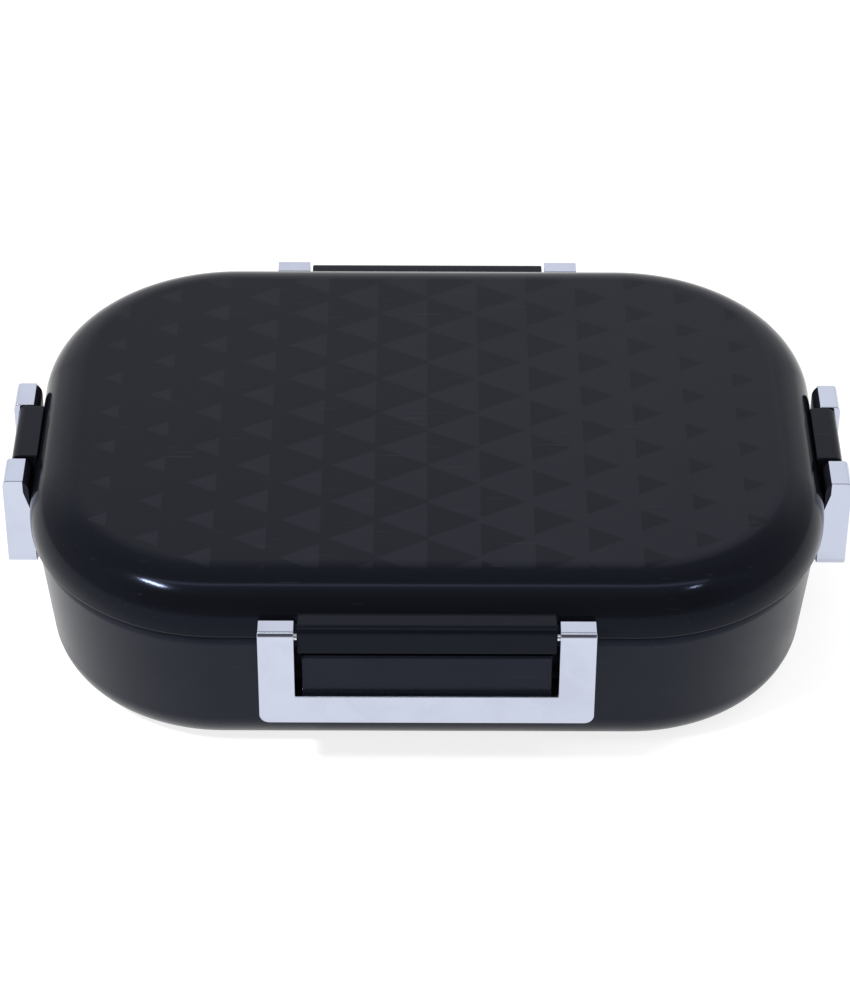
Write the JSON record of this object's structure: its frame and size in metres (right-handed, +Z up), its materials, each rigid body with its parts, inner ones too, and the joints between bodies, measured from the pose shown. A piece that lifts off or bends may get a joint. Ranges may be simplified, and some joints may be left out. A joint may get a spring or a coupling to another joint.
{
  "type": "lunch box",
  "caption": "Rounded rectangular lunch box: plastic case with a steel inner tray, lift-off sealed lid and chromed snap latches on its sides.",
  "frame": {"origin": "centre of the case on the surface it stands on", "axes": "+X along the length, -Y towards the front latch, +Z up out of the tray"},
  "size_m": [0.2462, 0.1816, 0.063],
  "materials": {
    "case_plastic": "satin, with a faint pattern of small triangles on the lid",
    "tray_steel": "brushed",
    "liner_plastic": "satin",
    "silicone": "matt",
    "chrome_trim": "polished",
    "latch_plastic": "satin",
    "pin_steel": "drawn"
  },
  "bodies": {
    "case": {"base_shell": "case_plastic", "steel_tray": "tray_steel"},
    "lid": {"lid_cover": "case_plastic", "lid_liner": "liner_plastic", "lid_gasket": "silicone", "latch_front_pin": "pin_steel", "latch_back_pin": "pin_steel", "latch_left_pin": "pin_steel", "latch_right_pin": "pin_steel"},
    "latch_front": {"latch_front_frame": "chrome_trim", "latch_front_body": "latch_plastic", "latch_front_lip": "latch_plastic"},
    "latch_back": {"latch_back_frame": "chrome_trim", "latch_back_body": "latch_plastic", "latch_back_lip": "latch_plastic"},
    "latch_left": {"latch_left_frame": "chrome_trim", "latch_left_body": "latch_plastic", "latch_left_lip": "latch_plastic"},
    "latch_right": {"latch_right_frame": "chrome_trim", "latch_right_body": "latch_plastic", "latch_right_lip": "latch_plastic"}
  },
  "joints": [
    {"name": "lid_lift", "type": "slide", "parent": "case", "child": "lid", "axis": [0, 0, 1], "range_m": [0, 0.08], "deforming": ["latch_front_lip", "latch_back_lip", "latch_left_lip", "latch_right_lip"]},
    {"name": "latch_front_swing", "type": "hinge", "parent": "lid", "child": "latch_front", "pos_m": [0, -0.0874, 0.0512], "axis": [-1, 0, 0], "range_deg": [0, 120]},
    {"name": "latch_back_swing", "type": "hinge", "parent": "lid", "child": "latch_back", "pos_m": [0, 0.0874, 0.0512], "axis": [1, 0, 0], "range_deg": [0, 120]},
    {"name": "latch_left_swing", "type": "hinge", "parent": "lid", "child": "latch_left", "pos_m": [-0.1197, 0, 0.052], "axis": [0, 1, 0], "range_deg": [0, 120]},
    {"name": "latch_right_swing", "type": "hinge", "parent": "lid", "child": "latch_right", "pos_m": [0.1197, 0, 0.052], "axis": [0, -1, 0], "range_deg": [0, 120]}
  ]
}
